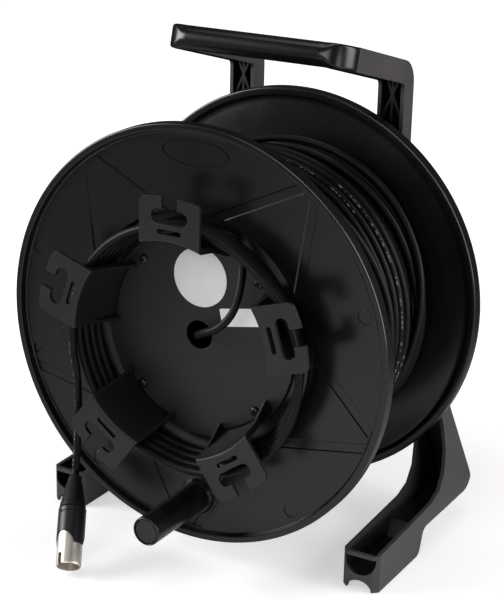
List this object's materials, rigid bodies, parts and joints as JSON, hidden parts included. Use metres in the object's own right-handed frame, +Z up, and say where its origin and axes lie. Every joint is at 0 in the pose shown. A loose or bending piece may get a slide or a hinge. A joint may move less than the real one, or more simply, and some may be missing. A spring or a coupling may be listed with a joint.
{
  "type": "cable drum",
  "caption": "Hand cable drum on a tilted carrying frame, with a crank knob, a wound microphone cable and its tail coiled in a slotted holder in the front flange.",
  "frame": {"origin": "centre of the object's box on the floor, the free tail of the cable left out", "axes": "+Z up, +Y to the rear along the axle, +X to the right when looking at the crank side"},
  "size_m": [0.32, 0.2769, 0.3917],
  "materials": {
    "frame_plastic": "matte moulded plastic, purple-grey black",
    "flange_plastic": "satin moulded plastic, black",
    "grip_plastic": "glossy black plastic",
    "core_plastic": "satin black plastic",
    "cable_jacket": "satin black cable jacket with a faint printed line",
    "nickel": "satin nickel plating",
    "steel": "zinc-plated steel",
    "dark_steel": "blackened steel",
    "bronze": "sintered bronze"
  },
  "bodies": {
    "frame": {"side_frame_right": "frame_plastic", "side_frame_left": "frame_plastic", "handle_grip": "grip_plastic", "hub_plate": "frame_plastic", "axle": "steel", "retaining_ring": "steel", "thrust_washer_front": "steel", "thrust_washer_rear": "steel", "axle_washer": "steel", "axle_nut": "steel", "hub_screw_1": "dark_steel", "hub_screw_2": "dark_steel", "hub_screw_3": "dark_steel", "hub_screw_4": "dark_steel"},
    "drum": {"front_flange": "flange_plastic", "rear_flange": "flange_plastic", "drum_core": "core_plastic", "front_bush": "bronze", "rear_bush": "bronze", "cable_holder": "core_plastic", "cable_arm_1": "core_plastic", "cable_arm_2": "core_plastic", "cable_arm_3": "core_plastic", "cable_arm_4": "core_plastic", "cable_arm_5": "core_plastic", "holder_screw_1": "dark_steel", "holder_screw_2": "dark_steel", "holder_screw_3": "dark_steel", "holder_screw_4": "dark_steel", "rear_screw_1": "dark_steel", "rear_screw_2": "dark_steel", "rear_screw_3": "dark_steel", "rear_screw_4": "dark_steel", "crank_bolt": "dark_steel", "crank_nut": "steel", "cable_inner_layers": "cable_jacket", "cable_winding": "cable_jacket", "inner_lead": "cable_jacket", "tail_lead": "cable_jacket", "tail_coil": "cable_jacket", "tail_drop": "cable_jacket", "plug_boot": "cable_jacket", "plug_body": "grip_plastic", "plug_shell": "nickel", "plug_insert": "core_plastic", "socket_boot": "cable_jacket", "socket_body": "grip_plastic", "socket_insert": "core_plastic"},
    "knob": {"crank_knob": "grip_plastic", "knob_cap": "grip_plastic"},
    "latch": {"socket_latch": "nickel"}
  },
  "joints": [
    {"name": "drum_spin", "type": "hinge", "parent": "frame", "child": "drum", "pos_m": [0, 0, 0.1785], "axis": [0, 1, 0], "continuous": true},
    {"name": "knob_spin", "type": "hinge", "parent": "drum", "child": "knob", "pos_m": [0.00443, -0.1, 0.05158], "axis": [0, 1, 0], "continuous": true},
    {"name": "latch_press", "type": "slide", "parent": "drum", "child": "latch", "axis": [0.7431, 0, 0.6691], "range_m": [0, 0.0012]}
  ]
}
